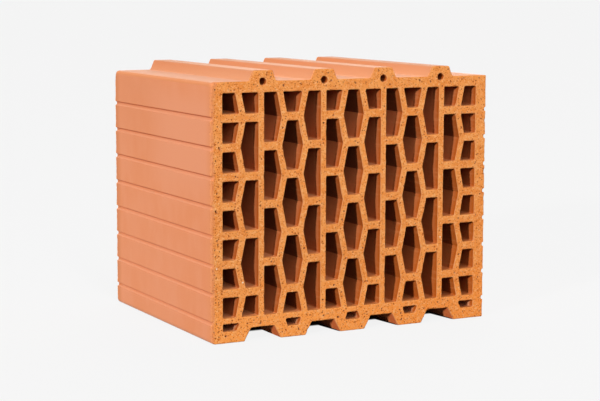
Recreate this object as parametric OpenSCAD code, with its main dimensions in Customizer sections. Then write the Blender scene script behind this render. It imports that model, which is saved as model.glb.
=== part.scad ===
// Large hollow block of fired clay, pushed through a die, cut to length and fired in one piece.
// Its section lies in the X-Z plane and is carried along Y. It rests on the five feet between its
// grooves, with its tongues on top. Sizes are in millimetres.

/* [Block] */
// Width across the wall that the block builds, along X
block_width = 300; // [280:1:360]
// Height in the wall, between the two cut faces, along Y
block_height = 238; // [100:1:400]
// Length from the feet to the face that carries the tongues, along Z
body_length = 243.5; // [200:0.5:400]
// Rounding of the two long edges at -X
left_edge_r = 4; // [0.5:0.5:6]
// Rounding of the two long edges at +X
right_edge_r = 1; // [0.5:0.5:6]

/* [Walls] */
// Outer wall beside the scored sides
shell_t = 11.8; // [6:0.1:18]
// Wall between the cells and the face that carries the tongues
roof_t = 10.5; // [6:0.5:20]
// Wall between the cells and the ceilings of the grooves
floor_t = 11; // [6:0.5:20]
// Straight webs that run from the floor to the roof
web_t = 5.9; // [4:0.1:8]
// Distance between neighbouring straight webs, before the columns share any spare width
web_pitch = 65.6; // [60:0.1:68]
// Ribs that part the cells of one column
rib_t = 8; // [4:0.5:12]
// Zigzag walls between two columns, measured level
zigzag_t = 6.5; // [4:0.1:9]
// How far a zigzag wall swings from side to side
zigzag_swing = 5.8; // [0:0.1:8]

/* [Cells] */
// Tall cells in a whole column
cell_rows = 4; // [2:1:5]
// Greatest width of the cells beside a straight web
side_cell_w = 18.2; // [14:0.1:20]
// Greatest width of the small cells beside the outer walls
end_cell_w = 17.95; // [14:0.05:20]
// Rounding of the cells' corners
cell_corner_r = 1.2; // [0.2:0.1:2]

/* [Tongues and grooves] */
// Distance between neighbouring tongues or grooves, before they keep step with the columns
joint_pitch = 64.6; // [56:0.1:70]
// Height of the tongues above their face
tongue_h = 10; // [5:0.5:14]
// Width of a tongue at its root
tongue_root_w = 28.5; // [22:0.5:32]
// Rounding at the root of a tongue
tongue_root_r = 2; // [0.5:0.5:3]
// Width of a tongue at its crest
tongue_crest_w = 19.6; // [12:0.1:22]
// Rounding of a tongue's crest
tongue_crest_r = 2; // [0.5:0.5:3]
// Diameter of the hole along the root of each tongue
tongue_hole_d = 7; // [3:0.5:9]
// How far the hole's centre lies below the face that carries the tongues
tongue_hole_drop = 0.5; // [-1:0.1:2]
// Spare depth that a groove has over its tongue
groove_spare_depth = 2.7; // [0.5:0.1:5]
// Gap on each side of a tongue's crest at the ceiling of its groove
groove_side_gap = 2.2; // [0.5:0.1:4]
// How far each flank of a groove leans out from its ceiling to its mouth
groove_flare = 7; // [3:0.5:9]
// Rounding of the grooves' edges
groove_edge_r = 1.5; // [0.5:0.5:3]

/* [Slots in the feet] */
// Height of the slots
slot_h = 7; // [4:0.5:9]
// Height of the slots above the ground
slot_lift = 11; // [8:0.5:12]
// Wider edge of the slots in the three inner feet
slot_wide_w = 17; // [12:0.5:20]
// Narrower edge of the slots in the three inner feet
slot_narrow_w = 11.6; // [8:0.1:12]
// Upper edge of the slots in the two end feet
end_slot_wide_w = 17.6; // [14:0.1:20]
// Lower edge of the slots in the two end feet
end_slot_narrow_w = 13.6; // [8:0.1:14]
// Rounding of the slots' corners
slot_corner_r = 1.3; // [0.2:0.1:1.9]

/* [Scored sides] */
// Width of the shallow grooves that key plaster to the sides
score_w = 4.4; // [2:0.1:6]
// Depth of those grooves
score_depth = 1.5; // [0.5:0.1:2]

/* [Hidden] */
clay_colour = [0.93, 0.60, 0.34];
corner_steps = 3;

// Columns of cells: three in each whole bay between two straight webs, two in each end bay. They
// share the width that the block has over its named bays.
whole_bays = 3;
bay_columns = 3;
end_bay_columns = 2;
end_bay_w = side_cell_w + end_cell_w - zigzag_swing + zigzag_t;
spare_w = block_width - whole_bays * web_pitch - web_t - 2 * (end_bay_w + shell_t);
column_spare = spare_w / (whole_bays * bay_columns + 2 * end_bay_columns);
bay_step = web_pitch + bay_columns * column_spare;
side_column_w = side_cell_w + column_spare;

// Grooves take the tongues of the next block, and both keep step with the bays
joint_step = joint_pitch + bay_columns * column_spare;
joint_xs = [-1.5 * joint_step, -0.5 * joint_step, 0.5 * joint_step, 1.5 * joint_step];
groove_depth = tongue_h + groove_spare_depth;
groove_ceiling_w = tongue_crest_w + 2 * groove_side_gap;
groove_mouth_w = groove_ceiling_w + 2 * groove_flare;

// Field of cells: its levels, and the distance between the ribs of two neighbouring columns
field_low = groove_depth + floor_t;
field_high = body_length - roof_t;
field_mid = (field_low + field_high) / 2;
rib_pitch = (field_high - field_low + rib_t) / (2 * cell_rows);
tall_h = 2 * rib_pitch - rib_t;
small_h = rib_pitch - rib_t;

// Faces of the straight webs on the +X half, and the inside of the outer wall
inner_web_low = 0.5 * bay_step - web_t / 2;
inner_web_high = 0.5 * bay_step + web_t / 2;
outer_web_low = 1.5 * bay_step - web_t / 2;
outer_web_high = 1.5 * bay_step + web_t / 2;
shell_face = block_width / 2 - shell_t;

// Circle that cuts a scored groove of the set width and depth
score_r = (score_w * score_w / 4 + score_depth * score_depth) / (2 * score_depth);

function unit(v) = v / norm(v);

// Arc of radius r that rounds the corner p between its neighbours a and b
function corner_arc(p, a, b, r) =
    let (u = unit(a - p))
    let (v = unit(b - p))
    let (half = acos(u * v) / 2)
    let (centre = p + unit(u + v) * r / sin(half))
    let (from = p + u * r / tan(half) - centre)
    let (to = p + v * r / tan(half) - centre)
    let (start = atan2(from.y, from.x))
    let (turn = (atan2(to.y, to.x) - start + 540) % 360 - 180)
    [for (k = [0 : corner_steps])
        centre + r * [cos(start + turn * k / corner_steps), sin(start + turn * k / corner_steps)]];

// Outline through corners [x, z, radius]; a corner of radius 0 stays sharp
function rounded(corners) =
    let (n = len(corners))
    let (points = [for (c = corners) [c.x, c.y]])
    [for (i = [0 : n - 1])
        each corners[i].z == 0
            ? [points[i]]
            : corner_arc(points[i], points[(i + n - 1) % n], points[(i + 1) % n], corners[i].z)];

// Wave of a zigzag wall at height z: 1 at the middle of a whole column's tall cells, where the wall
// makes room for them, and -1 a rib's distance higher and lower
function wave(z) =
    let (phase = ((z - field_mid) / rib_pitch + 4 * cell_rows + (cell_rows % 2)) % 2)
    1 - 2 * abs(phase - 1);

// Level of a column wall [x, lean] at height z; a straight wall has no lean
function wall_x(wall, z) = wall[0] + wall[1] * zigzag_swing / 2 * wave(z);

// One cell between two walls and two levels, with a bend half way up if it is a tall one
module cell(left, right, low, high) {
    mid = (low + high) / 2;
    bend = high - low > rib_pitch ? [mid] : [];
    polygon(rounded([
        [wall_x(left, low), low, cell_corner_r],
        [wall_x(right, low), low, cell_corner_r],
        for (z = bend) [wall_x(right, z), z, 0],
        [wall_x(right, high), high, cell_corner_r],
        [wall_x(left, high), high, cell_corner_r],
        for (z = bend) [wall_x(left, z), z, 0],
    ]));
}

// Column of tall cells only
module whole_column(left, right)
    for (i = [0 : cell_rows - 1])
        let (low = field_low + 2 * i * rib_pitch)
        cell(left, right, low, low + tall_h);

// Column shifted by half a cell, which starts and ends with a small one
module shifted_column(left, right) {
    cell(left, right, field_low, field_low + small_h);
    for (i = [1 : cell_rows - 1])
        let (low = field_low + (2 * i - 1) * rib_pitch)
        cell(left, right, low, low + tall_h);
    cell(left, right, field_high - small_h, field_high);
}

// Column of small cells only, beside the outer wall
module small_column(left, right)
    for (i = [0 : 2 * cell_rows - 1])
        let (low = field_low + i * rib_pitch)
        cell(left, right, low, low + small_h);

// Cells on one side of the block's middle
module half_field() {
    half_swing = zigzag_swing / 2;
    middle_wall = inner_web_low - side_column_w + half_swing;
    bay_low_wall = inner_web_high + side_column_w - half_swing;
    bay_high_wall = outer_web_low - side_column_w + half_swing;
    end_wall = outer_web_high + side_column_w - half_swing;
    shifted_column([middle_wall, 1], [inner_web_low, 0]);
    whole_column([inner_web_high, 0], [bay_low_wall, 1]);
    shifted_column([bay_low_wall + zigzag_t, 1], [bay_high_wall - zigzag_t, -1]);
    whole_column([bay_high_wall, -1], [outer_web_low, 0]);
    shifted_column([outer_web_high, 0], [end_wall, -1]);
    small_column([end_wall + zigzag_t, -1], [shell_face, 0]);
}

// All cells: the middle column, and the rest on both sides of it
module cell_field() {
    middle_half_w = inner_web_low - side_column_w + zigzag_swing / 2 - zigzag_t;
    whole_column([-middle_half_w, -1], [middle_half_w, 1]);
    half_field();
    mirror([1, 0]) half_field();
}

// Slot in an inner foot, between two levels
module slot(low_w, high_w)
    polygon(rounded([
        [-low_w / 2, slot_lift, slot_corner_r],
        [low_w / 2, slot_lift, slot_corner_r],
        [high_w / 2, slot_lift + slot_h, slot_corner_r],
        [-high_w / 2, slot_lift + slot_h, slot_corner_r],
    ]));

// Slot in an end foot, upright on its outer side, in line with the outer cells
module end_slot()
    polygon(rounded([
        [shell_face - end_slot_narrow_w, slot_lift, slot_corner_r],
        [shell_face, slot_lift, slot_corner_r],
        [shell_face, slot_lift + slot_h, slot_corner_r],
        [shell_face - end_slot_wide_w, slot_lift + slot_h, slot_corner_r],
    ]));

module foot_slots() {
    slot(slot_wide_w, slot_narrow_w);
    for (side = [-1, 1])
        translate([side * joint_step, 0]) slot(slot_narrow_w, slot_wide_w);
    end_slot();
    mirror([1, 0]) end_slot();
}

// Outer outline: feet and grooves below, tongues above
module outline()
    polygon(rounded([
        [-block_width / 2, 0, left_edge_r],
        for (x = joint_xs) each [
            [x - groove_mouth_w / 2, 0, groove_edge_r],
            [x - groove_ceiling_w / 2, groove_depth, groove_edge_r],
            [x + groove_ceiling_w / 2, groove_depth, groove_edge_r],
            [x + groove_mouth_w / 2, 0, groove_edge_r],
        ],
        [block_width / 2, 0, right_edge_r],
        [block_width / 2, body_length, right_edge_r],
        for (x = -joint_xs) each [
            [x + tongue_root_w / 2, body_length, tongue_root_r],
            [x + tongue_crest_w / 2, body_length + tongue_h, tongue_crest_r],
            [x - tongue_crest_w / 2, body_length + tongue_h, tongue_crest_r],
            [x - tongue_root_w / 2, body_length, tongue_root_r],
        ],
        [-block_width / 2, body_length, left_edge_r],
    ]));

// Scored grooves on both sides, one at the level of each rib but for the roof's
module scores()
    for (side = [-1, 1], i = [0 : 2 * cell_rows - 1])
        translate([side * (block_width / 2 + score_r - score_depth), field_low - rib_t / 2 + i * rib_pitch])
            circle(r = score_r, $fn = 48);

module section()
    difference() {
        outline();
        scores();
        cell_field();
        foot_slots();
        for (x = joint_xs)
            translate([x, body_length - tongue_hole_drop]) circle(d = tongue_hole_d, $fn = 48);
    }

module clay_block()
    color(clay_colour)
        rotate([90, 0, 0])
            linear_extrude(height = block_height, center = true)
                section();

clay_block();
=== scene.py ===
import math

import bpy
import numpy as np
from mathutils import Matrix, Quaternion, Vector
from mathutils.geometry import delaunay_2d_cdt


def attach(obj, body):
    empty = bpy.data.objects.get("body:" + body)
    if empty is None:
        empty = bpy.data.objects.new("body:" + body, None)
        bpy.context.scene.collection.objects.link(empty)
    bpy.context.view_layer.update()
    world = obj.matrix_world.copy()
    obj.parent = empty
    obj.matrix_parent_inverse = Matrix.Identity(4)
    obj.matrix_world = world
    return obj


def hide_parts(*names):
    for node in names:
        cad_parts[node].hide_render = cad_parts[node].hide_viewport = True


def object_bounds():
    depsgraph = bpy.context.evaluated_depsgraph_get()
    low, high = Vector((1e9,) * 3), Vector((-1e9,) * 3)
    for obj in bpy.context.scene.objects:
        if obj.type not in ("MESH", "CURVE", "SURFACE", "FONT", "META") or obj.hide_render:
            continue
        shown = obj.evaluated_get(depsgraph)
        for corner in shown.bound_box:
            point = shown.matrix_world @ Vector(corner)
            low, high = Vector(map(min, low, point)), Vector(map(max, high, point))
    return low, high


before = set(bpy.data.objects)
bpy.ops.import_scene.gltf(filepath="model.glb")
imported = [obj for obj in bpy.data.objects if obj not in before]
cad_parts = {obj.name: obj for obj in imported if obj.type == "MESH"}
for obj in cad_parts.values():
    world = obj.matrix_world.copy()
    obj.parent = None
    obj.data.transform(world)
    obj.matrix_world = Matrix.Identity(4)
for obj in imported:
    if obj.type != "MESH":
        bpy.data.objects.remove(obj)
cad_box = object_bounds()

# Section of the block, as the die shapes the soft clay: the outline with its tongues, grooves and
# scores, the cells, the slots in the feet and the holes in the tongues. It is read from the front
# cut face of the solid, and each stretch is divided into short steps so that edges can crumble.
MM = 0.001
SKIN_STEP = 2.4 * MM
CELL_STEP = 2.8 * MM
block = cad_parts["clay_block"]


def cut_face_rim(mesh):
    """Corners (x, z) of the front cut face, and for each corner the next one along its rim.

    Corners at the same place are merged. A rim edge is one that a single triangle of the cut face
    has, and it keeps the direction that this triangle gives it.
    """
    places = np.empty(3 * len(mesh.vertices))
    mesh.vertices.foreach_get("co", places)
    corners = np.empty(3 * len(mesh.polygons), dtype=np.int64)
    mesh.polygons.foreach_get("vertices", corners)
    merged, same = np.unique(np.round(places.reshape(-1, 3), 6), axis=0, return_inverse=True)
    triangles = same.ravel()[corners].reshape(-1, 3)
    cut = triangles[(merged[triangles, 1] == merged[:, 1].min()).all(axis=1)]
    start = cut.ravel()
    end = np.roll(cut, -1, axis=1).ravel()
    on_rim = ~np.isin(start * len(merged) + end, end * len(merged) + start)
    used, short = np.unique(np.concatenate([start[on_rim], end[on_rim]]), return_inverse=True)
    following = np.empty(len(used), dtype=np.int64)
    following[short[: len(short) // 2]] = short[len(short) // 2 :]
    return merged[used][:, [0, 2]], following


def rim_loops(corners, following):
    """The rims as closed loops of corners, each in order.

    Jumps that double in length carry the lowest corner's number all round a loop, and then count
    the steps from each corner to that one. Sorting by loop and by count gives the order.
    """
    everyone = np.arange(len(following))
    loop = everyone.copy()
    jump = following.copy()
    for _ in range(math.ceil(math.log2(len(following)))):
        loop = np.minimum(loop, loop[jump])
        jump = jump[jump]
    steps = (loop != everyone).astype(np.int64)
    jump = np.where(loop == everyone, everyone, following)
    for _ in range(math.ceil(math.log2(len(following)))):
        steps = steps + steps[jump]
        jump = jump[jump]
    order = np.lexsort((-steps, loop))
    ends = np.flatnonzero(np.diff(loop[order])) + 1
    return np.split(corners[order], ends)


def in_short_steps(loop, step):
    """The loop with each of its edges divided evenly into stretches no longer than the step."""
    edge = np.roll(loop, -1, axis=0) - loop
    parts = np.ceil(np.linalg.norm(edge, axis=1) / step).astype(np.int64).clip(1)
    first = np.repeat(np.cumsum(parts) - parts, parts)
    share = (np.arange(parts.sum()) - first) / np.repeat(parts, parts)
    return np.repeat(loop, parts, axis=0) + share[:, None] * np.repeat(edge, parts, axis=0)


corners, following = cut_face_rim(block.data)
# The outline is the widest loop, so it comes first and has the number 0
coarse_loops = sorted(rim_loops(corners, following), key=lambda loop: -np.ptp(loop[:, 0]))
loops = [in_short_steps(loop, CELL_STEP if i else SKIN_STEP) for i, loop in enumerate(coarse_loops)]

# The block itself, fired clay in one piece. It is pushed through the die, so its skin and its cells
# run straight, and cut off by a wire, which leaves two rough faces with torn pits and crumbled
# edges. Everything that crumbles lies inside the solid's own surface.
FRONT, BACK = cad_box[0].y, cad_box[1].y
LOW_CORNER, HIGH_CORNER = loops[0].min(axis=0), loops[0].max(axis=0)
# How far from either cut the rings of the skin and of the cells lie
SKIN_RINGS = np.array([5, 8, 12, 17, 24, 33, 45, 60, 78, 100]) * MM
CELL_RINGS = np.array([12, 60]) * MM
# How far the edges crumble in mm: everywhere, by wear and by chips
OUTLINE_CRUMBLE = (0.5, 0.9, 1.6)
CELL_CRUMBLE = (0.25, 0.5, 1.1)
LEVEL_EDGE_CRUMBLE = 0.5
CORNER_CRUMBLE = 2.4
WEAR_SIZE = 2.6 * MM
CHIP_SIZE = 5.5 * MM
# Corners that are rubbed away: x, z, and how far along the edge (mm)
WORN_CORNERS = np.array([[-106.7, 253.5, 3.5], [-149.0, 242.5, 5.0]])
GRAIN = 2.3 * MM
GRAIN_RELIEF = 0.14 * MM
PIT_RIM_DEPTH = 0.02 * MM
PIT_CORNERS = 7
PITS_PER_FACE = 300
# Marks seen on the front: x, z, radius (mm), stretch, slant (degrees), 1 for a pit or -1 for lime
FRONT_MARKS = np.array(
    [
        [-87.2, 249.0, 0.70, 1.6, 60, 1],
        [-22.0, 245.2, 0.70, 1.5, 60, 1],
        [-62.6, 241.5, 0.60, 1.8, 20, 1],
        [-57.2, 240.3, 0.65, 1.9, 20, 1],
        [108.8, 237.6, 0.70, 1.2, 0, 1],
        [76.7, 174.4, 0.70, 1.3, -50, 1],
        [121.9, 192.0, 0.80, 1.2, 0, 1],
        [121.0, 56.6, 0.80, 1.3, 20, 1],
        [29.8, 52.6, 0.80, 1.2, -30, 1],
        [81.2, 14.4, 0.80, 1.5, 10, 1],
        [147.6, 18.8, 0.70, 1.3, 80, 1],
        [-53.5, 60.8, 0.80, 1.3, 40, 1],
        [-135.2, 126.1, 0.80, 1.2, 0, 1],
        [-143.2, 93.5, 0.80, 1.3, -60, 1],
        [-144.7, 71.1, 0.70, 1.1, 0, -1],
        [-117.8, 56.3, 0.70, 1.2, 30, -1],
        [-121.5, 35.0, 0.65, 1.1, 0, -1],
        [-9.3, 224.1, 0.65, 1.2, 60, -1],
        [8.2, 198.4, 0.65, 1.1, 0, -1],
        [52.4, 196.4, 0.65, 1.2, 0, -1],
        [98.6, 84.7, 0.70, 1.1, 0, -1],
        [10.5, 55.0, 0.65, 1.2, 30, -1],
    ]
)
NO_MARKS = FRONT_MARKS[:0]
# Seeds of the chips along the edges, and of the pits and grains on the faces
FRONT_CHIPS, BACK_CHIPS = 11, 23
FRONT_GRAINS, BACK_GRAINS = 5, 8
# Many points are compared with many others in batches, which need less memory
BATCHES = 60
# The grooves' walls are the outline between these heights, away from the sides
FOOT_TOP, GROOVE_TOP = 0.5 * MM, 13.2 * MM
GROOVES_WITHIN = 140 * MM
CUT_SLOT, SKIN_SLOT, CELL_SLOT = 0, 1, 2


def lattice_noise(u, v, size, seed):
    """Random values on a square lattice of this size, blended smoothly in between; from 0 to 1."""
    rows, columns = 97, 89
    table = np.random.default_rng(seed).random((rows, columns))
    i, j = np.floor(u / size).astype(np.int64), np.floor(v / size).astype(np.int64)
    s, t = u / size - i, v / size - j
    s, t = s * s * (3 - 2 * s), t * t * (3 - 2 * t)
    near = table[i % rows, j % columns] * (1 - s) + table[(i + 1) % rows, j % columns] * s
    far = table[i % rows, (j + 1) % columns] * (1 - s) + table[(i + 1) % rows, (j + 1) % columns] * s
    return near * (1 - t) + far * t


def into_clay(loop):
    """Unit directions from a loop's corners into the clay.

    The rims run so that the clay lies on one side of them, so each edge's direction, turned by a
    quarter, points into it. A corner takes the mean of its two edges.
    """
    edge = np.roll(loop, -1, axis=0) - loop
    edge /= np.linalg.norm(edge, axis=1, keepdims=True)
    turned = np.stack([-edge[:, 1], edge[:, 0]], axis=1)
    mean = turned + np.roll(turned, 1, axis=0)
    return mean / np.linalg.norm(mean, axis=1, keepdims=True)


def room_to_crumble(loop):
    """How far each corner may move into the clay before the edges beside it shrink to nothing.

    Moving an edge's ends by a length shortens it by that length times the sines of half the turns
    at its ends, so its length divided by the sines is the room. A corner takes the least room of
    the four edges around it.
    """
    edge = np.roll(loop, -1, axis=0) - loop
    before = np.roll(edge, 1, axis=0)
    turn = np.arctan2(before[:, 0] * edge[:, 1] - before[:, 1] * edge[:, 0], (before * edge).sum(axis=1))
    pull = np.sin(turn / 2)
    room = np.linalg.norm(edge, axis=1) / (pull + np.roll(pull, -1)).clip(0.001)
    return np.min([np.roll(room, shift) for shift in (-1, 0, 1, 2)], axis=0)


def crumble(loop, number, seed):
    """How far each corner of an edge has crumbled.

    It is a least rounding, plus wear by noise, plus chips where coarser noise is above 0.7. The
    outline has its two rubbed corners as well, each a bell round its place. In the cells it is more
    on level edges than on upright ones. It takes up to 0.6 of the room that there is.
    """
    way = np.cumsum(np.linalg.norm(loop - np.roll(loop, 1, axis=0), axis=1))
    lane = np.full(len(loop), 3.7 * number) * MM
    worn = lattice_noise(way, lane, WEAR_SIZE, seed)
    chipped = ((lattice_noise(way, lane, CHIP_SIZE, seed + 1) - 0.7) / 0.3).clip(0) ** 2
    least, by_wear, by_chips = CELL_CRUMBLE if number else OUTLINE_CRUMBLE
    depth = least + by_wear * worn + by_chips * chipped
    if number == 0:
        away = np.linalg.norm(loop[:, None] / MM - WORN_CORNERS[:, :2], axis=-1)
        depth += (CORNER_CRUMBLE * np.exp(-((away / WORN_CORNERS[:, 2]) ** 2))).sum(axis=1)
    else:
        depth += LEVEL_EDGE_CRUMBLE * into_clay(loop)[:, 1] ** 2
    return np.minimum(depth * MM, 0.6 * room_to_crumble(loop))


def mouth_rings(loop, number, seed):
    """Three rings of a rounded edge, from the cut face to the wall, as (x, z) and depth.

    The edge is a quarter round whose radius is how far the edge has crumbled there.
    """
    radius = crumble(loop, number, seed)
    inward = into_clay(loop)
    turns = np.radians([0, 45, 90])
    sideways = (1 - np.sin(turns))[:, None] * radius
    depth = (1 - np.cos(turns))[:, None] * radius
    return loop + sideways[:, :, None] * inward, depth


def sweep(loop, number):
    """Places (ring, corner, 3) of one wall: its front edge, rings along the block, its back edge."""
    rings = SKIN_RINGS if number == 0 else CELL_RINGS
    front_xz, front_depth = mouth_rings(loop, number, FRONT_CHIPS)
    back_xz, back_depth = mouth_rings(loop, number, BACK_CHIPS)
    along = np.concatenate([FRONT + rings, BACK - rings[::-1]])
    xz = np.concatenate([front_xz, np.broadcast_to(loop, (len(along), *loop.shape)), back_xz[::-1]])
    y = np.concatenate(
        [
            FRONT + front_depth,
            np.broadcast_to(along[:, None], (len(along), len(loop))),
            BACK - back_depth[::-1],
        ]
    )
    return np.stack([xz[..., 0], y, xz[..., 1]], axis=-1)


def ring_quads(ring_count, corner_count, first):
    """Quads between each ring and the next, all round, with the clay behind them."""
    number = first + np.arange(ring_count * corner_count).reshape(ring_count, corner_count)
    onward = np.roll(number, -1, axis=1)
    return np.stack([number[:-1], number[1:], onward[1:], onward[:-1]], axis=-1).reshape(-1, 4)


def inside(points, start, end):
    """Which points lie in the clay: a level line from them crosses the rims an odd number of times."""
    found = []
    for some in np.array_split(points, BATCHES):
        x, z = some[:, :1], some[:, 1:]
        spans = (start[:, 1] > z) != (end[:, 1] > z)
        slope = (end[:, 0] - start[:, 0]) / np.where(end[:, 1] == start[:, 1], 1, end[:, 1] - start[:, 1])
        crossed = spans & (x < start[:, 0] + (z - start[:, 1]) * slope)
        found.append(crossed.sum(axis=1) % 2 == 1)
    return np.concatenate(found)


def nearest(points, others):
    """Distance from each point to the nearest of the others."""
    return np.concatenate(
        [
            np.sqrt(((some[:, None] - others[None]) ** 2).sum(axis=-1).min(axis=1))
            for some in np.array_split(points, BATCHES)
        ]
    )


def from_rim(points, start, end):
    """Distance from each point to the nearest stretch of rim, at its ends or anywhere in between."""
    edge = end - start
    squared = (edge**2).sum(axis=1)
    found = []
    for some in np.array_split(points, BATCHES):
        away = some[:, None] - start
        share = ((away * edge).sum(axis=-1) / squared).clip(0, 1)
        gap = away - share[..., None] * edge
        found.append(np.sqrt((gap**2).sum(axis=-1).min(axis=1)))
    return np.concatenate(found)


def torn_pits(start, end, seen_marks, random):
    """Pits where the wire tore grains out: centres, radii, stretch, slant, and 1 or -1 for lime.

    The marks that were seen come first. The others are spread at random over the clay, with radii
    from 0.35 to 1.1 mm, small ones the most common, up to 2.2 times as long as wide, and slanted by
    about -50 degrees. They are thinned so that none overlaps an earlier one or an edge.
    """
    count = 6 * PITS_PER_FACE
    place = LOW_CORNER + random.random((count, 2)) * (HIGH_CORNER - LOW_CORNER)
    size = (0.35 + 0.75 * random.random(count) ** 2.5) * MM
    longer = 1 + 1.2 * random.random(count) ** 2
    turn = -50 + 35 * random.standard_normal(count)
    strewn = np.column_stack([place / MM, size / MM, longer, turn, np.ones(count)])
    marks = np.concatenate([seen_marks, strewn])
    spot, radius, stretch = marks[:, :2] * MM, marks[:, 2] * MM, marks[:, 3]
    reach = radius * stretch
    clear = inside(spot, start, end) & (from_rim(spot, start, end) > 1.2 * reach + 0.35 * MM)
    marks, spot, reach = marks[clear], spot[clear], reach[clear]
    apart = np.linalg.norm(spot[:, None] - spot[None], axis=-1)
    crowded = np.tril(apart < reach[:, None] + reach[None] + 0.5 * MM, -1).any(axis=1)
    marks = marks[np.flatnonzero(~crowded)[:PITS_PER_FACE]]
    return marks[:, :2] * MM, marks[:, 2] * MM, marks[:, 3], np.radians(marks[:, 4]), marks[:, 5]


def cut_face(rims, seen_marks, seed):
    """Inner points of a cut face, as (x, z), depth and how much of a pit they are.

    A pit is a wobbly ring of points, a second ring at 0.6 of its size and a middle, each deeper than
    the last, and lime is the same but nearly flat. Between them lies a jittered grid of grains, each
    a little lower or higher than the next, clear of the rims and of the pits' points.
    """
    random = np.random.default_rng(seed)
    start = np.concatenate(rims)
    end = np.concatenate([np.roll(rim, -1, axis=0) for rim in rims])
    spot, radius, stretch, slant, kind = torn_pits(start, end, seen_marks, random)
    around = np.arange(PIT_CORNERS) * (2 * np.pi / PIT_CORNERS)
    wobble = 1 + 0.35 * (random.random((len(spot), PIT_CORNERS)) - 0.5)
    long_way = radius[:, None] * stretch[:, None] * wobble * np.cos(around)
    short_way = radius[:, None] * wobble * np.sin(around)
    across = np.stack([np.cos(slant), np.sin(slant)], axis=-1)[:, None]
    along = np.stack([-np.sin(slant), np.cos(slant)], axis=-1)[:, None]
    outer = spot[:, None] + long_way[..., None] * across + short_way[..., None] * along
    inner = spot[:, None] + 0.6 * (outer - spot[:, None])
    deep = radius * (0.8 + 0.6 * random.random(len(spot))) * np.where(kind > 0, 1, 0.1)
    outer, inner = outer.reshape(-1, 2), inner.reshape(-1, 2)
    counts = np.ceil((HIGH_CORNER - LOW_CORNER) / GRAIN).astype(np.int64)
    grid = np.stack(np.meshgrid(np.arange(counts[0]), np.arange(counts[1])), axis=-1).reshape(-1, 2)
    grid = LOW_CORNER + (grid + 0.5 + 0.55 * (random.random(grid.shape) - 0.5)) * GRAIN
    grid = grid[inside(grid, start, end)]
    grid = grid[from_rim(grid, start, end) > 0.42 * GRAIN]
    for pit_points in (outer, inner, spot):
        grid = grid[nearest(grid, pit_points) > 0.3 * GRAIN]
    relief = GRAIN_RELIEF * random.random(len(grid)) ** 2
    flat = np.concatenate([outer, inner, spot, grid])
    outer_depth, inner_depth = np.full(len(outer), PIT_RIM_DEPTH), np.repeat(0.75 * deep, PIT_CORNERS)
    depth = np.concatenate([outer_depth, inner_depth, deep, relief])
    ring_kind = np.repeat(kind, PIT_CORNERS)
    pit = np.concatenate([0.25 * ring_kind, ring_kind, kind, np.zeros(len(grid))])
    return flat, depth, pit


def cut_triangles(rims, inner):
    """Triangles of a cut face: a Delaunay net over its rims and inner points, less those in holes.

    A triangle with an inner point lies in the clay, and the others are tested by their middles.
    """
    rim_count = sum(len(rim) for rim in rims)
    first = np.cumsum([0] + [len(rim) for rim in rims[:-1]])
    edges = np.concatenate(
        [
            np.stack([np.arange(len(rim)), np.roll(np.arange(len(rim)), -1)], axis=1) + begin
            for rim, begin in zip(rims, first)
        ]
    )
    flat = np.concatenate([*rims, inner])
    net = delaunay_2d_cdt(flat.tolist(), edges.tolist(), [], 0, 1e-9)
    triangles = np.array(net[2])
    start = np.concatenate(rims)
    end = np.concatenate([np.roll(rim, -1, axis=0) for rim in rims])
    kept = (triangles >= rim_count).any(axis=1)
    unsure = np.flatnonzero(~kept)
    kept[unsure] = inside(flat[triangles[unsure]].mean(axis=1), start, end)
    triangles = triangles[kept]
    a, b, c = (flat[triangles[:, k]] for k in range(3))
    ab, ac = b - a, c - a
    clockwise = ab[:, 0] * ac[:, 1] - ab[:, 1] * ac[:, 0] < 0
    triangles[clockwise] = triangles[clockwise][:, ::-1]
    return triangles


walls = [sweep(loop, number) for number, loop in enumerate(loops)]
wall_sizes = [wall.shape[0] * wall.shape[1] for wall in walls]
wall_starts = np.cumsum([0] + wall_sizes)
quads = np.concatenate([ring_quads(*wall.shape[:2], begin) for wall, begin in zip(walls, wall_starts)])
quad_slots = []
for number, wall in enumerate(walls):
    slots = np.full((wall.shape[0] - 1, wall.shape[1]), CELL_SLOT if number else SKIN_SLOT)
    if number == 0:
        middle_x, middle_z = ((loops[0] + np.roll(loops[0], -1, axis=0)) / 2).T
        in_groove = (middle_z > FOOT_TOP) & (middle_z < GROOVE_TOP) & (abs(middle_x) < GROOVES_WITHIN)
        slots[:, in_groove] = CELL_SLOT
    slots[[0, 1, -2, -1]] = CUT_SLOT
    quad_slots.append(slots.ravel())

# What the mesh's points carry: the pits, the crumbled edges of the cells, and how far below its
# cell's highest point a point lies
points = [wall.reshape(-1, 3) for wall in walls]
pits = [np.zeros(size) for size in wall_sizes]
worn_edges = [np.zeros(wall.shape[:2]) for wall in walls]
for worn in worn_edges[1:]:
    worn[[0, 1, 2, -3, -2, -1]] = 1
worn_edges = [worn.ravel() for worn in worn_edges]
below_roof = [(wall[..., 2].max() - wall[..., 2]).ravel() for wall in walls]
triangles = []
point_count = wall_starts[-1]
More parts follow.
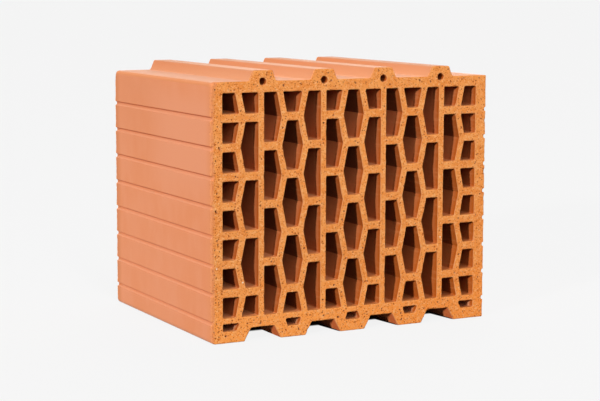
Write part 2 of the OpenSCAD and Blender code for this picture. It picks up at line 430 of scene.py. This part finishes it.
# The two cut faces: the ring of each wall that is their rim, their place, the way in, marks and seed
for ring, level, inward, marks, seed in [
    (0, FRONT, 1, FRONT_MARKS, FRONT_GRAINS),
    (-1, BACK, -1, NO_MARKS, BACK_GRAINS),
]:
    rims = [wall[ring][:, [0, 2]] for wall in walls]
    rim_numbers = np.concatenate(
        [
            begin + (ring % wall.shape[0]) * wall.shape[1] + np.arange(wall.shape[1])
            for wall, begin in zip(walls, wall_starts)
        ]
    )
    flat, depth, pit = cut_face(rims, marks, seed)
    net = cut_triangles(rims, flat)
    numbers = np.concatenate([rim_numbers, point_count + np.arange(len(flat))])
    triangles.append(numbers[net if ring == 0 else net[:, ::-1]])
    points.append(np.stack([flat[:, 0], level + inward * depth, flat[:, 1]], axis=-1))
    pits.append(pit)
    worn_edges.append(np.zeros(len(flat)))
    below_roof.append(np.zeros(len(flat)))
    point_count += len(flat)

mesh = bpy.data.meshes.new("fired_block")
triangles = np.concatenate(triangles)
mesh.from_pydata(np.concatenate(points), [], quads.tolist() + triangles.tolist())
face_slots = np.concatenate([*quad_slots, np.full(len(triangles), CUT_SLOT)])
mesh.polygons.foreach_set("material_index", face_slots)
for name, values in [("torn_pit", pits), ("worn_edge", worn_edges), ("below_roof", below_roof)]:
    mesh.attributes.new(name, "FLOAT", "POINT").data.foreach_set("value", np.concatenate(values))
fired_block = bpy.data.objects.new("fired_block", mesh)
bpy.context.scene.collection.objects.link(fired_block)
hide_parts("clay_block")
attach(fired_block, "root")

# Cut clay, torn by the wire: orange, with pale and brown grains, pits painted dark as shade and a few
# white specks, painted lighter low down and darker towards the lower right, as light and shade. Edges
# that face up or to the left are painted browner, as shade, and along the left arris the skin has been
# rubbed over the cut in streaks. In all three clays, places and distances are in millimetres.
CUT_ORANGE = (0.885, 0.335, 0.083, 1)
CUT_DEEP = (0.820, 0.264, 0.051, 1)
CUT_LOW_LIGHT = (0.990, 0.345, 0.070, 1)
CUT_FAR_SHADE = (0.870, 0.235, 0.030, 1)
CUT_PEACH = (0.960, 0.510, 0.215, 1)
CUT_DOT = (0.520, 0.098, 0.005, 1)
CUT_SPECK = (0.330, 0.056, 0.003, 1)
PIT_SHADE = (0.175, 0.036, 0.006, 1)
CUT_WHITE = (0.930, 0.780, 0.580, 1)
SKIN_SALMON = (0.752, 0.259, 0.111, 1)
LEFT_FACING_SHADE = (0.540, 0.212, 0.080, 1)
UPWARD_EDGE_SHADE = (0.570, 0.196, 0.043, 1)
DOT_STEP = 1.5
SPECK_STEP = 3.3
LEFT_SIDE = -150


class Socket:
    """An output of a material's nodes. Arithmetic on it adds Math nodes, and node() adds any other."""

    def __init__(self, socket):
        self.socket = socket

    def node(self, kind, settings, inputs, output=0):
        """Adds a node: its settings are set first, then each input gets its value or its link."""
        tree = self.socket.id_data
        made = tree.nodes.new(kind)
        for name, value in settings.items():
            setattr(made, name, value)
        for key, value in inputs.items():
            if isinstance(value, Socket):
                tree.links.new(value.socket, made.inputs[key])
            else:
                made.inputs[key].default_value = value
        return Socket(made.outputs[output])

    def math(self, operation, *values):
        """Adds a Math node of this operation on the values."""
        return self.node("ShaderNodeMath", {"operation": operation}, dict(enumerate(values)))

    def __add__(self, other):
        return self.math("ADD", self, other)

    __radd__ = __add__

    def __sub__(self, other):
        return self.math("SUBTRACT", self, other)

    def __rsub__(self, other):
        return self.math("SUBTRACT", other, self)

    def __mul__(self, other):
        return self.math("MULTIPLY", self, other)

    __rmul__ = __mul__

    def __abs__(self):
        return self.math("ABSOLUTE", self)

    def larger(self, other):
        """The larger of this and the other."""
        return self.math("MAXIMUM", self, other)

    def fade(self, start, end):
        """0 at the start, 1 at the end, and a smooth step in between."""
        return self.node(
            "ShaderNodeMapRange",
            {"interpolation_type": "SMOOTHSTEP"},
            {"Value": self, "From Min": start, "From Max": end},
        )

    def tint(self, low, high):
        """The low colour where this is 0 and the high one where it is 1."""
        return self.node("ShaderNodeMix", {"data_type": "RGBA"}, {0: self, 6: low, 7: high}, 2)


def place_in_mm(socket):
    """The place on the surface, among the nodes that this socket belongs to."""
    place = socket.node("ShaderNodeTexCoord", {}, {}, "Object")
    return place.node("ShaderNodeVectorMath", {"operation": "SCALE"}, {0: place, "Scale": 1 / MM})


def clay(name):
    """A new material, its shader node, and the place on its surface."""
    material = bpy.data.materials.new(name)
    material.use_nodes = True
    shader = material.node_tree.nodes["Principled BSDF"]
    return material, shader, place_in_mm(Socket(shader.outputs[0]))


def noise(place, size, detail=2.0, roughness=0.5, stretch=(1, 1, 1)):
    """Soft noise of a given grain size, stretched along some axes; from 0 to 1."""
    stretched = place.node(
        "ShaderNodeVectorMath", {"operation": "DIVIDE"}, {0: place, 1: [size * s for s in stretch]}
    )
    inputs = {"Vector": stretched, "Scale": 1.0, "Detail": detail, "Roughness": roughness}
    return place.node("ShaderNodeTexNoise", {}, inputs)


def grains(place, size):
    """Cells of a Voronoi net this far apart: distance from the cell's middle, and a random value."""
    inputs = {"Vector": place, "Scale": 1 / size}
    net = place.node("ShaderNodeTexVoronoi", {}, inputs, "Distance")
    colour = Socket(net.socket.node.outputs["Color"])
    lot = place.node("ShaderNodeSeparateColor", {}, {0: colour}, 0)
    return net, lot


def along(vector, axis):
    """One coordinate of a place or a direction."""
    return vector.node("ShaderNodeSeparateXYZ", {}, {"Vector": vector}, axis)


def facing(place, axis):
    """How far the surface faces along an axis, from -1 to 1."""
    return along(place.node("ShaderNodeNewGeometry", {}, {}, "Normal"), axis)


def from_cut(place):
    """Distance to the nearer cut face."""
    return -FRONT / MM - abs(along(place, "Y"))


def carried(place, name):
    """A value that the mesh's points carry."""
    return place.node("ShaderNodeAttribute", {"attribute_name": name}, {}, "Fac")


def finish_clay(shader, colour, rough, height, strength, distance, gloss):
    """Links a clay's colour, roughness and relief to its shader, and sets its gloss."""
    tree = shader.id_data
    relief = height.node(
        "ShaderNodeBump", {}, {"Strength": strength, "Distance": distance, "Height": height}
    )
    tree.links.new(colour.socket, shader.inputs["Base Color"])
    tree.links.new(rough.socket, shader.inputs["Roughness"])
    tree.links.new(relief.socket, shader.inputs["Normal"])
    shader.inputs["Specular IOR Level"].default_value = gloss


cut_clay, shader, place = clay("cut_clay")
x, z = along(place, "X"), along(place, "Z")
cloud = noise(place, 11.0, 2.0).fade(0.3, 0.7)
sand = noise(place, 1.9, 2.0, 0.6)
dot_away, dot_lot = grains(place, DOT_STEP)
speck_away, speck_lot = grains(place, SPECK_STEP)
mark = carried(place, "torn_pit")
worn = carried(place, "worn_edge")
# Clouds, with painted light low down and painted shade deeper towards the lower right
colour = cloud.tint(CUT_DEEP, CUT_ORANGE)
colour = (z.fade(70, 5) * 0.85).tint(colour, CUT_LOW_LIGHT)
colour = ((x * 0.6 - z).fade(-90, 80) * 0.55).tint(colour, CUT_FAR_SHADE)
# Sand, pale grains, and brown dots and specks, which lie closer together along the left arris
colour = (sand.fade(0.5, 0.75) * 0.5).tint(colour, CUT_PEACH)
pale_grain = dot_lot.fade(0.3, 0.1) * dot_away.fade(0.6, 0.3)
colour = (pale_grain * 0.7).tint(colour, CUT_PEACH)
near_arris = x.fade(-135, -141)
dot = (dot_lot + near_arris * 0.15).fade(0.42, 0.58) * dot_away.fade(0.46, 0.22)
colour = (dot * 0.9).tint(colour, CUT_DOT)
speck = (speck_lot + near_arris * 0.18).fade(0.68, 0.76) * speck_away.fade(0.32, 0.17)
colour = (speck * 0.85).tint(colour, CUT_SPECK)
# Crumbled edges, pits and lime, then painted shade on edges that face up or left, and the rubbed arris
colour = (worn * sand.fade(0.3, 0.6) * 0.1).tint(colour, CUT_PEACH)
# The pits are painted dark, as the shade inside them
colour = mark.fade(0.1, 0.9).tint(colour, PIT_SHADE)
colour = mark.fade(-0.1, -0.7).tint(colour, CUT_WHITE)
shaded_upward = facing(place, "Z").fade(0.25, 0.8) * z.fade(238, 243).larger(worn)
colour = shaded_upward.tint(colour, UPWARD_EDGE_SHADE)
colour = facing(place, "X").fade(-0.12, -0.6).tint(colour, LEFT_FACING_SHADE)
corner = z.fade(235, 243) * 5
streaks = noise(place, 3.0, 3.0, 0.6, (1, 1, 5)) * 7
rubbed = (x - LEFT_SIDE - corner - streaks).fade(0.6, -1.6)
colour = (rubbed * 0.6).tint(colour, SKIN_SALMON)
height = sand * 0.5 + pale_grain * 0.3 - dot * 0.1 - speck * 0.4
finish_clay(shader, colour, cloud * 0.06 + 0.82, height, 0.5, 0.5 * MM, 0.2)

# Skin, rubbed smooth by the die: salmon with faint clouds, more orange towards the cuts and torn open
# right at them, with painted shade towards the back. The scores have painted shade above and a painted
# highlight below, the flanks of the tongues and the rounded edges are painted browner, as shade, and
# the level tops of the block and of its tongues are painted paler, as sheen and highlight.
SKIN_PINK = (0.762, 0.281, 0.136, 1)
SKIN_ORANGE = (0.738, 0.243, 0.094, 1)
SKIN_RIM = (0.750, 0.254, 0.092, 1)
SKIN_FAR_SHADE = (0.600, 0.190, 0.062, 1)
ROUND_EDGE_SHADE = (0.640, 0.220, 0.072, 1)
FLANK_SHADE = (0.598, 0.255, 0.120, 1)
FLANK_FAR_SHADE = (0.555, 0.192, 0.070, 1)
TOP_SHEEN = (0.700, 0.313, 0.167, 1)
TOP_PAINTED_LIGHT = (0.860, 0.392, 0.205, 1)
CREST_HIGHLIGHT = (0.715, 0.340, 0.190, 1)
CREST_FAR_SHADE = (0.600, 0.252, 0.122, 1)
SCORE_SHADE = (0.510, 0.105, 0.014, 1)
SCORE_SOFT_SHADE = (0.640, 0.182, 0.062, 1)
SCORE_LIP_HIGHLIGHT = (0.775, 0.308, 0.152, 1)
skin_clay, shader, place = clay("skin_clay")
across, up = facing(place, "X"), facing(place, "Z")
x, y, z = along(place, "X"), along(place, "Y"), along(place, "Z")
streak = noise(place, 18.0, 2.0, 0.5, (1, 1, 2))
patch = noise(place, 60.0, 2.0, 0.5)
fine = noise(place, 1.2, 2.0, 0.6)
inward = from_cut(place)
# Patches and streaks, pinker high on the near half of the sides, and painted shade deeper towards the back
colour = patch.fade(0.35, 0.65).tint(SKIN_ORANGE, SKIN_SALMON)
colour = (streak.fade(0.4, 0.7) * 0.6).tint(colour, SKIN_PINK)
colour = (z.fade(115, 165) * z.fade(240, 215) * y.fade(50, -20) * 0.9).tint(colour, SKIN_PINK)
colour = (z.fade(120, 225) * y.fade(-50, 60) * 0.25).tint(colour, SKIN_FAR_SHADE)
colour = (fine.fade(0.5, 0.8) * 0.15).tint(colour, CUT_PEACH)
colour = (inward.fade(14, 2) * 0.8).tint(colour, SKIN_RIM)
# Painted shade at the far end of the sides
colour = (y.fade(104, 118) * 0.8).tint(colour, SKIN_FAR_SHADE)
# Scores, whose upper sides face down and get painted shade, softer low down, and whose lower sides get a
# painted highlight
scored = z.fade(236, 225) * z.fade(4, 14)
colour = (scored * up.fade(-0.1, -0.6)).tint(colour, z.fade(190, 50).tint(SCORE_SHADE, SCORE_SOFT_SHADE))
colour = (scored * up.fade(0.1, 0.6)).tint(colour, SCORE_LIP_HIGHLIGHT)
# Painted shade on the rounded edges up to the top, and above it on the flanks of the tongues, darker high
# up and towards the back
oblique = (abs(across) * abs(up)).fade(0.05, 0.36)
flank_shade = (z.fade(244, 252) * 0.5 + y.fade(-110, 110) * 0.5).tint(FLANK_SHADE, FLANK_FAR_SHADE)
colour = (oblique * z.fade(225, 236)).tint(colour, z.fade(243.2, 244.4).tint(ROUND_EDGE_SHADE, flank_shade))
# Painted sheen and light on the level tops of the block, brighter from the first tongue on, and a painted
# highlight on the tongues' crests that fades towards the back and the right
crest_highlight = (y.fade(110, -60) * x.fade(78, 50)).tint(CREST_FAR_SHADE, CREST_HIGHLIGHT)
level = z.fade(246, 252).tint(x.fade(-112, -85).tint(TOP_SHEEN, TOP_PAINTED_LIGHT), crest_highlight)
colour = up.fade(0.86, 0.99).tint(colour, level)
# Brown dots and torn streaks right at the cuts
dot_away, dot_lot = grains(place, DOT_STEP)
dot = dot_lot.fade(0.45, 0.62) * dot_away.fade(0.44, 0.2)
colour = (dot * inward.fade(7, 1) * 0.6).tint(colour, CUT_DOT)
torn = (inward - noise(place, 2.5, 3.0, 0.6) * 5).fade(-0.6, -1.6)
colour = torn.tint(colour, CUT_ORANGE)
finish_clay(shader, colour, streak * 0.1 + 0.5, fine * 0.5 + streak, 0.2, 0.2 * MM, 0.35)

# Walls of the cells, slots, holes and grooves, dragged along the die's cores: dark orange at the torn
# mouths, then salmon. Further in they are painted lighter where they face up, most on their floors and
# high in the block, and painted darker where they face down or lie close under a roof, as light and
# shade.
CELL_MOUTH = (0.375, 0.076, 0.006, 1)
CELL_SALMON = (0.425, 0.116, 0.036, 1)
CELL_SHADE = (0.240, 0.050, 0.006, 1)
CELL_UP_LIGHT = (0.610, 0.190, 0.064, 1)
CELL_UP_LIGHT_HIGH = (0.770, 0.250, 0.088, 1)
CELL_LOW_SHADE = (0.440, 0.097, 0.007, 1)
CELL_DOWN_SHADE = (0.255, 0.094, 0.038, 1)
ROOF_SHADOW = (0.100, 0.030, 0.010, 1)
CELL_FLOOR_LIGHT = (0.610, 0.218, 0.090, 1)
FLOOR_LIP_LIGHT = (0.740, 0.272, 0.092, 1)
SLOT = (0.600, 0.265, 0.130, 1)
GROOVE = (0.610, 0.140, 0.040, 1)
GROOVE_DEEP_LIGHT = (0.850, 0.270, 0.100, 1)
cell_clay, shader, place = clay("cell_clay")
drag = noise(place, 3.0, 2.0, 0.5, (1, 12, 1))
inward = from_cut(place) + drag * 3
up = facing(place, "Z")
up_lit = up.fade(-0.16, 0.02)
x, z = along(place, "X"), along(place, "Z")
# Torn mouths with painted shade where they face down; further in, painted light on walls that face
# up, most high in the block, and painted shade on those that face down
up_light = z.fade(140, 215).tint(CELL_UP_LIGHT, CELL_UP_LIGHT_HIGH)
mouth = inward.fade(9, 2.5).tint(CELL_SALMON, CELL_MOUTH)
mouth = (up_lit.fade(1, 0) * 0.5).tint(mouth, CELL_SHADE)
colour = inward.fade(10, 14).tint(mouth, up_lit.tint(CELL_DOWN_SHADE, up_light))
# The painted shadow under a roof is narrow at the mouth and 9 mm wider from 60 mm in
below = carried(place, "below_roof") * (1 / MM)
roof_shadow = (below - from_cut(place).fade(0, 60) * 9).fade(1.5, -1)
colour = (roof_shadow * 0.85).tint(colour, ROOF_SHADOW)
# Floors painted lighter, most at their lips, and painted shade on all of it towards the lower right
colour = up.fade(0.6, 0.95).tint(colour, inward.fade(15, 3).tint(CELL_FLOOR_LIGHT, FLOOR_LIP_LIGHT))
colour = ((x * 0.8 - z).fade(-160, 60) * 0.5).tint(colour, CELL_LOW_SHADE)
# Slots in the feet and roofs of the grooves, then the walls of the grooves, painted lighter further in
colour = (z.fade(23, 20) * inward.fade(5, 10)).tint(colour, SLOT)
groove = z.fade(12.6, 11.6) * up.fade(0.2, 0)
colour = groove.tint(colour, inward.fade(12, 22).tint(GROOVE, GROOVE_DEEP_LIGHT))
colour = (drag.fade(0.5, 0.8) * 0.1).tint(colour, CUT_PEACH)
finish_clay(shader, colour, drag * 0.1 + 0.75, drag, 0.12, 0.3 * MM, 0.05)

# The three clays go into the block's slots in the order of CUT_SLOT, SKIN_SLOT and CELL_SLOT
for fired_clay in (cut_clay, skin_clay, cell_clay):
    mesh.materials.append(fired_clay)

# Pale studio floor, which shows the background's grey to the camera and keeps a light shadow. Its
# glow is painted black where no lamp reaches it under the block, as shadow: far in, and in a band that
# widens inward along the right side of each groove but the first.
FLOOR_HALF = 60.0
FLOOR_GAP = 0.2 * MM
BACKGROUND = 0.905
FLOOR_LIGHT = 0.75
FLOOR_SHADE = 0.05
FLOOR_BOUNCE = 0.12
# From one foot to the next, and the left side of the middle foot (mm)
FOOT_STEP = 64.6
FOOT_EDGE = -9.3
WHITE = (1, 1, 1, 1)
BLACK = (0, 0, 0, 1)
floor_mesh = bpy.data.meshes.new("studio_floor")
floor_corners = np.array([[-1, -1, 0], [1, -1, 0], [1, 1, 0], [-1, 1, 0]]) * FLOOR_HALF - [0, 0, FLOOR_GAP]
floor_mesh.from_pydata(floor_corners, [], [(0, 1, 2, 3)])
studio_floor = bpy.data.objects.new("studio_floor", floor_mesh)
bpy.context.scene.collection.objects.link(studio_floor)


def seen_directly(tree):
    """1 for rays from the camera and for those that a glossy or clear surface sends on, 0 for others."""
    from_camera = Socket(tree.nodes.new("ShaderNodeLightPath").outputs["Is Camera Ray"])
    glossy = Socket(from_camera.socket.node.outputs["Is Glossy Ray"])
    clear = Socket(from_camera.socket.node.outputs["Is Transmission Ray"])
    return from_camera.larger(glossy).larger(clear)


floor_paint = bpy.data.materials.new("floor_paint")
floor_paint.use_nodes = True
floor_tree = floor_paint.node_tree
floor_tree.nodes.remove(floor_tree.nodes["Principled BSDF"])
seen = seen_directly(floor_tree)
shadowed = seen.node("ShaderNodeBsdfDiffuse", {}, {"Color": (FLOOR_SHADE, FLOOR_SHADE, FLOOR_SHADE, 1)})
place = place_in_mm(seen)
x, deep = along(place, "X"), from_cut(place)
left_of_foot = x.math("FLOORED_MODULO", FOOT_EDGE - x, FOOT_STEP)
beside_foot = (left_of_foot - deep * 0.125).fade(4.6, 3.4) * x.fade(-60, -50) * deep.fade(0, 5)
far_in = (deep + x.fade(-75, -50) * 5).fade(39, 45)
unlit = abs(x).fade(145, 141) * far_in.larger(beside_foot)
glow_level = BACKGROUND - FLOOR_SHADE * FLOOR_LIGHT
glow = seen.node("ShaderNodeEmission", {}, {"Color": unlit.tint(WHITE, BLACK), "Strength": glow_level})
shown = seen.node("ShaderNodeAddShader", {}, {0: shadowed, 1: glow})
bounce = seen.node("ShaderNodeBsdfDiffuse", {}, {"Color": (FLOOR_BOUNCE, FLOOR_BOUNCE, FLOOR_BOUNCE, 1)})
floor_look = seen.node("ShaderNodeMixShader", {}, {0: seen, 1: bounce, 2: shown})
floor_tree.links.new(floor_look.socket, floor_tree.nodes["Material Output"].inputs["Surface"])
floor_mesh.materials.append(floor_paint)

# Soft studio light: a key lamp low on the left, a tall softbox high in front and a wide lamp overhead.
# Three lamps that don't show in gloss light the back and the right side, and a dim surround the rest.
SURROUND = 0.04
FRONT_MIDDLE = (0, FRONT, 0.125)


def lamp(name, towards, strength, angle, mirrored=True):
    """A distant soft lamp: where it stands as seen from the block, its level on a face turned to it,
    at which 1 shows a colour as written, how wide it looks in degrees, and if it shows in gloss."""
    light = bpy.data.lights.new(name, "SUN")
    light.energy = math.pi * strength
    light.angle = math.radians(angle)
    made = bpy.data.objects.new(name, light)
    made.rotation_mode = "QUATERNION"
    made.rotation_quaternion = Vector(towards).to_track_quat("Z", "Y")
    made.visible_glossy = mirrored
    bpy.context.scene.collection.objects.link(made)


def softbox(name, place, size, strength):
    """A tall soft lamp turned to the front of the block: its middle, its width and height, its level."""
    towards = Vector(place) - Vector(FRONT_MIDDLE)
    light = bpy.data.lights.new(name, "AREA")
    light.shape = "RECTANGLE"
    light.size, light.size_y = size
    light.energy = math.pi**2 * towards.length_squared * strength
    made = bpy.data.objects.new(name, light)
    made.location = place
    made.rotation_mode = "QUATERNION"
    made.rotation_quaternion = towards.to_track_quat("Z", "Y")
    made.visible_camera = False
    bpy.context.scene.collection.objects.link(made)


lamp("key_lamp", (-0.86, -0.45, 0.24), 0.96, 5)
softbox("front_softbox", (-0.50, -2.46, 2.34), (0.40, 4.2), 0.70)
lamp("overhead_lamp", (0.1, 0.4, 0.91), 0.30, 60)
lamp("back_lamp", (0.62, 0.77, 0.06), 0.95, 40, False)
lamp("right_lamp", (0.98, 0.06, 0.18), 0.32, 40, False)
lamp("rear_lamp", (0.22, 0.95, 0.20), 0.20, 40, False)
world = bpy.data.worlds.new("studio")
bpy.context.scene.world = world
world.use_nodes = True
surround = world.node_tree.nodes["Background"]
world_level = seen_directly(world.node_tree) * (BACKGROUND - SURROUND) + SURROUND
world.node_tree.links.new(world_level.socket, surround.inputs["Strength"])
surround.inputs["Color"].default_value = WHITE

# Camera, a long lens a little above the block, turned to its left front corner. Its place and turns
# were fitted to the edges and the cells of the block in the photograph.
CAMERA_PLACE = (-0.77630, -1.49231, 0.33057)
CAMERA_YAW = math.radians(27.613)
CAMERA_PITCH = math.radians(7.374)
CAMERA_ROLL = math.radians(0.158)
LENS, SENSOR_WIDTH = 99.438, 36
camera_data = bpy.data.cameras.new("camera")
camera_data.lens = LENS
camera_data.sensor_width = SENSOR_WIDTH
camera = bpy.data.objects.new("camera", camera_data)
camera.location = CAMERA_PLACE
camera.rotation_mode = "QUATERNION"
turned = Quaternion((0, 0, 1), -CAMERA_YAW) @ Quaternion((1, 0, 0), math.pi / 2 - CAMERA_PITCH)
camera.rotation_quaternion = turned @ Quaternion((0, 0, 1), CAMERA_ROLL)
bpy.context.scene.collection.objects.link(camera)
bpy.context.scene.camera = camera
bpy.context.scene.view_settings.view_transform = "Standard"
